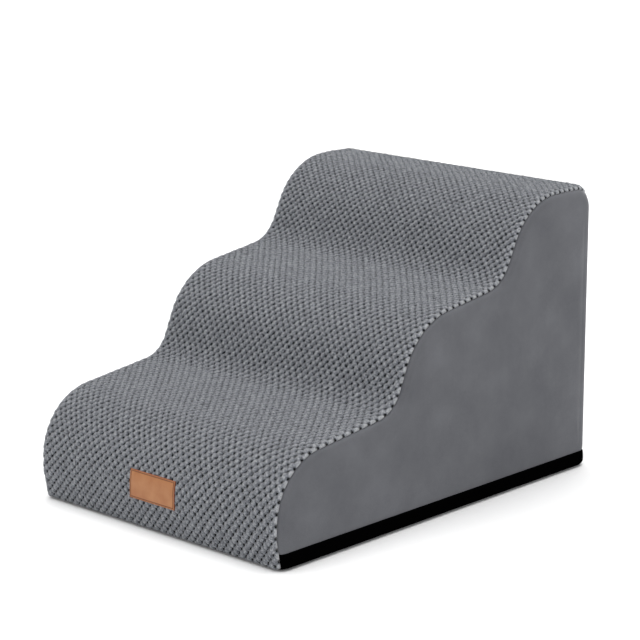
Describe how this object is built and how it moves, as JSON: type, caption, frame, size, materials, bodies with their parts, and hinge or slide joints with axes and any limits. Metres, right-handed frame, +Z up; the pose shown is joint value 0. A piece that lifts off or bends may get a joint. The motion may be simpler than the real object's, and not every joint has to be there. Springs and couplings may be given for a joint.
{
  "type": "pet stairs",
  "caption": "Stepped foam pet stairs with a wavy profile, in a zip-off fabric cover with a knitted tread panel, smooth sides, a dark band and a non-slip base.",
  "frame": {"origin": "on the floor, under the middle of the whole object's box", "axes": "+Z up; the stairs climb along +Y, so the front faces -Y and the back +Y; the width runs along X"},
  "size_m": [0.4, 0.5705, 0.362],
  "materials": {
    "knit_fabric": "matte",
    "side_fabric": "matte",
    "base_fabric": "matte",
    "liner_fabric": "matte",
    "firm_foam": "matte",
    "soft_foam": "matte",
    "label_leather": "satin",
    "label_thread": "satin",
    "zip_tape": "matte",
    "zip_coil": "satin",
    "zip_thread": "satin",
    "zip_metal": "satin"
  },
  "bodies": {
    "stairs": {"foam_core": "firm_foam", "comfort_layer": "soft_foam", "inner_liner": "liner_fabric", "tread_panel": "knit_fabric", "side_panel_left": "side_fabric", "side_panel_right": "side_fabric", "back_panel": "side_fabric", "base_band": "base_fabric", "base_panel": "base_fabric", "label_patch": "label_leather", "label_stitching": "label_thread", "zip_tape_upper": "zip_tape", "zip_tape_lower": "zip_tape", "zip_coil_upper": "zip_coil", "zip_coil_lower": "zip_coil", "zip_top_stops": "zip_metal", "zip_bottom_stop": "zip_metal", "zip_stitching": "zip_thread"},
    "slider": {"zip_slider": "zip_metal"},
    "pull": {"zip_pull": "zip_metal"}
  },
  "joints": [
    {"name": "zip_slide", "type": "slide", "parent": "stairs", "child": "slider", "axis": [-1, 0, 0], "range_m": [0, 0.312]},
    {"name": "pull_hinge", "type": "hinge", "parent": "slider", "child": "pull", "pos_m": [0.156, 0.28215, 0.027], "axis": [0, 0, -1], "range_deg": [0, 180]}
  ]
}
